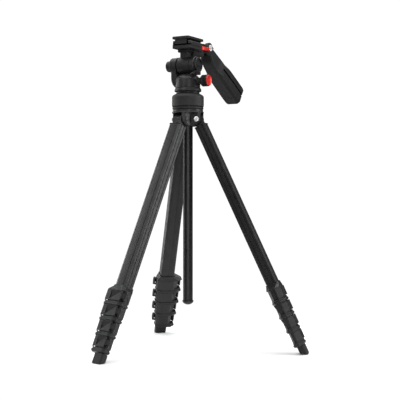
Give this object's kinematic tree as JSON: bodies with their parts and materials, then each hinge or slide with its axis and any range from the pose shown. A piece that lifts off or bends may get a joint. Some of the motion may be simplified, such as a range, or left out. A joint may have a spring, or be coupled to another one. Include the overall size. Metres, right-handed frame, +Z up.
{
  "type": "video tripod",
  "caption": "Travel video tripod with telescoping flip-lock legs, centre column, fluid pan and tilt head, quick-release plate and pan grip.",
  "frame": {"origin": "on the floor, in the middle of the footprint's box", "axes": "+Z up; +X towards the pan knob, along the tilt axis; +Y back along the grip, so a lens points along -Y"},
  "size_m": [0.3825, 0.4223, 0.5792],
  "materials": {
    "black_plastic": "fine moulded texture",
    "leg_tube": "satin black anodised",
    "black_aluminium": "fine bead-blasted black anodised",
    "rubber": "matte",
    "red": "red anodised, satin",
    "bright_steel": "bright"
  },
  "bodies": {
    "crown": {"spider_crown": "black_aluminium", "right_pivot_bolt": "bright_steel", "back_pivot_bolt": "bright_steel", "left_pivot_bolt": "bright_steel"},
    "collar": {"column_collar": "rubber"},
    "column": {"column_tube": "leg_tube", "column_end_cap": "black_plastic", "head_seat": "black_aluminium", "pan_base": "black_aluminium"},
    "pan": {"pan_housing": "black_aluminium", "tilt_hub_cap": "black_aluminium"},
    "pan_knob": {"pan_knob": "black_plastic", "pan_knob_cap": "red"},
    "tilt_lock": {"tilt_lock_knob": "black_plastic"},
    "tilt": {"tilt_barrel": "black_aluminium", "plate_base": "black_aluminium"},
    "drag_disc": {"tilt_drag_disc": "black_plastic"},
    "jaw": {"clamp_jaw": "black_aluminium"},
    "release_lever": {"plate_lever": "red"},
    "plate": {"camera_plate": "black_aluminium"},
    "screw": {"camera_screw": "bright_steel"},
    "grip": {"handle_grip": "rubber", "handle_spine": "rubber", "handle_bolt": "bright_steel"},
    "right_leg": {"right_knuckle": "black_plastic", "right_tube_1": "leg_tube", "right_lock_1": "black_plastic"},
    "right_leg_2": {"right_section_2": "leg_tube"},
    "right_leg_3": {"right_section_3": "leg_tube"},
    "right_leg_4": {"right_section_4": "leg_tube"},
    "right_leg_5": {"right_tube_5": "leg_tube", "right_foot": "rubber"},
    "right_lever_1": {"right_lever_1": "black_plastic"},
    "right_lever_2": {"right_lever_2": "black_plastic"},
    "right_lever_3": {"right_lever_3": "black_plastic"},
    "right_lever_4": {"right_lever_4": "black_plastic"},
    "back_leg": {"back_knuckle": "black_plastic", "back_tube_1": "leg_tube", "back_lock_1": "black_plastic"},
    "back_leg_2": {"back_section_2": "leg_tube"},
    "back_leg_3": {"back_section_3": "leg_tube"},
    "back_leg_4": {"back_section_4": "leg_tube"},
    "back_leg_5": {"back_tube_5": "leg_tube", "back_foot": "rubber"},
    "back_lever_1": {"back_lever_1": "black_plastic"},
    "back_lever_2": {"back_lever_2": "black_plastic"},
    "back_lever_3": {"back_lever_3": "black_plastic"},
    "back_lever_4": {"back_lever_4": "black_plastic"},
    "left_leg": {"left_knuckle": "black_plastic", "left_tube_1": "leg_tube", "left_lock_1": "black_plastic"},
    "left_leg_2": {"left_section_2": "leg_tube"},
    "left_leg_3": {"left_section_3": "leg_tube"},
    "left_leg_4": {"left_section_4": "leg_tube"},
    "left_leg_5": {"left_tube_5": "leg_tube", "left_foot": "rubber"},
    "left_lever_1": {"left_lever_1": "black_plastic"},
    "left_lever_2": {"left_lever_2": "black_plastic"},
    "left_lever_3": {"left_lever_3": "black_plastic"},
    "left_lever_4": {"left_lever_4": "black_plastic"}
  },
  "joints": [
    {"name": "column_slide", "type": "slide", "parent": "crown", "child": "column", "axis": [0, 0, 1], "range_m": [0, 0.25]},
    {"name": "collar_twist", "type": "hinge", "parent": "crown", "child": "collar", "pos_m": [-0.0269, 0.007, 0.458], "axis": [0, 0, 1], "range_deg": [0, 60]},
    {"name": "pan_turn", "type": "hinge", "parent": "column", "child": "pan", "pos_m": [-0.0269, 0.007, 0.49], "axis": [0, 0, 1], "continuous": true},
    {"name": "pan_knob_turn", "type": "hinge", "parent": "pan", "child": "pan_knob", "pos_m": [-0.0269, 0.007, 0.494], "axis": [1, 0, 0], "range_deg": [0, 180]},
    {"name": "tilt_swing", "type": "hinge", "parent": "pan", "child": "tilt", "pos_m": [-0.0269, 0.007, 0.524], "axis": [1, 0, 0], "range_deg": [-45, 85]},
    {"name": "tilt_lock_turn", "type": "hinge", "parent": "pan", "child": "tilt_lock", "pos_m": [-0.0269, -0.0055, 0.5074], "axis": [1, 0, 0], "range_deg": [0, 90]},
    {"name": "drag_disc_turn", "type": "hinge", "parent": "tilt", "child": "drag_disc", "pos_m": [-0.0269, 0.007, 0.524], "axis": [1, 0, 0], "range_deg": [0, 180]},
    {"name": "grip_angle", "type": "hinge", "parent": "tilt", "child": "grip", "pos_m": [-0.0269, 0.07, 0.563], "axis": [1, 0, 0], "range_deg": [-5, 60]},
    {"name": "release_lever_turn", "type": "hinge", "parent": "tilt", "child": "release_lever", "pos_m": [-0.0099, 0.029, 0.5572], "axis": [0, 0, -1], "range_deg": [0, 85]},
    {"name": "jaw_slide", "type": "slide", "parent": "tilt", "child": "jaw", "axis": [1, 0, 0], "range_m": [0, 0.0012]},
    {"name": "plate_slide", "type": "slide", "parent": "tilt", "child": "plate", "axis": [0, 1, 0], "range_m": [-0.016, 0.0015]},
    {"name": "screw_turn", "type": "hinge", "parent": "plate", "child": "screw", "pos_m": [-0.0269, 0.007, 0.57], "axis": [0, 0, 1], "continuous": true},
    {"name": "right_leg_spread", "type": "hinge", "parent": "crown", "child": "right_leg", "pos_m": [-0.00758, 0.01218, 0.4236], "axis": [-0.2588, 0.9659, 0], "range_deg": [0, 20]},
    {"name": "back_leg_spread", "type": "hinge", "parent": "crown", "child": "back_leg", "pos_m": [-0.04104, 0.02114, 0.4236], "axis": [-0.7071, -0.7071, 0], "range_deg": [0, 20]},
    {"name": "left_leg_spread", "type": "hinge", "parent": "crown", "child": "left_leg", "pos_m": [-0.03208, -0.01232, 0.4236], "axis": [0.9659, -0.2588, 0], "range_deg": [0, 20]},
    {"name": "right_slide_2", "type": "slide", "parent": "right_leg", "child": "right_leg_2", "axis": [0.4067, 0.109, -0.907], "range_m": [0, 0.25]},
    {"name": "right_slide_3", "type": "slide", "parent": "right_leg_2", "child": "right_leg_3", "axis": [0.4067, 0.109, -0.907], "range_m": [0, 0.25]},
    {"name": "right_slide_4", "type": "slide", "parent": "right_leg_3", "child": "right_leg_4", "axis": [0.4067, 0.109, -0.907], "range_m": [0, 0.25]},
    {"name": "right_slide_5", "type": "slide", "parent": "right_leg_4", "child": "right_leg_5", "axis": [0.4067, 0.109, -0.907], "range_m": [0, 0.25]},
    {"name": "right_lever_1_flip", "type": "hinge", "parent": "right_leg", "child": "right_lever_1", "pos_m": [0.13687, 0.07366, 0.11154], "axis": [-0.4067, -0.109, 0.907], "range_deg": [0, 150]},
    {"name": "right_lever_2_flip", "type": "hinge", "parent": "right_leg_2", "child": "right_lever_2", "pos_m": [0.14783, 0.07483, 0.08617], "axis": [-0.4067, -0.109, 0.907], "range_deg": [0, 150]},
    {"name": "right_lever_3_flip", "type": "hinge", "parent": "right_leg_3", "child": "right_lever_3", "pos_m": [0.15865, 0.07587, 0.06071], "axis": [-0.4067, -0.109, 0.907], "range_deg": [0, 150]},
    {"name": "right_lever_4_flip", "type": "hinge", "parent": "right_leg_4", "child": "right_lever_4", "pos_m": [0.16942, 0.07669, 0.03521], "axis": [-0.4067, -0.109, 0.907], "range_deg": [0, 150]},
    {"name": "back_slide_2", "type": "slide", "parent": "back_leg", "child": "back_leg_2", "axis": [-0.2977, 0.2977, -0.907], "range_m": [0, 0.25]},
    {"name": "back_slide_3", "type": "slide", "parent": "back_leg_2", "child": "back_leg_3", "axis": [-0.2977, 0.2977, -0.907], "range_m": [0, 0.25]},
    {"name": "back_slide_4", "type": "slide", "parent": "back_leg_3", "child": "back_leg_4", "axis": [-0.2977, 0.2977, -0.907], "range_m": [0, 0.25]},
    {"name": "back_slide_5", "type": "slide", "parent": "back_leg_4", "child": "back_leg_5", "axis": [-0.2977, 0.2977, -0.907], "range_m": [0, 0.25]},
    {"name": "back_lever_1_flip", "type": "hinge", "parent": "back_leg", "child": "back_lever_1", "pos_m": [-0.16651, 0.1155, 0.11154], "axis": [0.2977, -0.2977, 0.907], "range_deg": [0, 150]},
    {"name": "back_lever_2_flip", "type": "hinge", "parent": "back_leg_2", "child": "back_lever_2", "pos_m": [-0.17301, 0.1244, 0.08617], "axis": [0.2977, -0.2977, 0.907], "range_deg": [0, 150]},
    {"name": "back_lever_3_flip", "type": "hinge", "parent": "back_leg_3", "child": "back_lever_3", "pos_m": [-0.17932, 0.13325, 0.06071], "axis": [0.2977, -0.2977, 0.907], "range_deg": [0, 150]},
    {"name": "back_lever_4_flip", "type": "hinge", "parent": "back_leg_4", "child": "back_lever_4", "pos_m": [-0.18541, 0.14218, 0.03521], "axis": [0.2977, -0.2977, 0.907], "range_deg": [0, 150]},
    {"name": "left_slide_2", "type": "slide", "parent": "left_leg", "child": "left_leg_2", "axis": [-0.109, -0.4067, -0.907], "range_m": [0, 0.25]},
    {"name": "left_slide_3", "type": "slide", "parent": "left_leg_2", "child": "left_leg_3", "axis": [-0.109, -0.4067, -0.907], "range_m": [0, 0.25]},
    {"name": "left_slide_4", "type": "slide", "parent": "left_leg_3", "child": "left_leg_4", "axis": [-0.109, -0.4067, -0.907], "range_m": [0, 0.25]},
    {"name": "left_slide_5", "type": "slide", "parent": "left_leg_4", "child": "left_leg_5", "axis": [-0.109, -0.4067, -0.907], "range_m": [0, 0.25]},
    {"name": "left_lever_1_flip", "type": "hinge", "parent": "left_leg", "child": "left_lever_1", "pos_m": [-0.05106, -0.16815, 0.11154], "axis": [0.109, 0.4067, 0.907], "range_deg": [0, 150]},
    {"name": "left_lever_2_flip", "type": "hinge", "parent": "left_leg_2", "child": "left_lever_2", "pos_m": [-0.05552, -0.17824, 0.08617], "axis": [0.109, 0.4067, 0.907], "range_deg": [0, 150]},
    {"name": "left_lever_3_flip", "type": "hinge", "parent": "left_leg_3", "child": "left_lever_3", "pos_m": [-0.06003, -0.18812, 0.06071], "axis": [0.109, 0.4067, 0.907], "range_deg": [0, 150]},
    {"name": "left_lever_4_flip", "type": "hinge", "parent": "left_leg_4", "child": "left_lever_4", "pos_m": [-0.06471, -0.19786, 0.03521], "axis": [0.109, 0.4067, 0.907], "range_deg": [0, 150]}
  ],
  "couplings": [
    {"joint": "jaw_slide", "follows": "release_lever_turn", "m_per_rad": 0.000809}
  ]
}
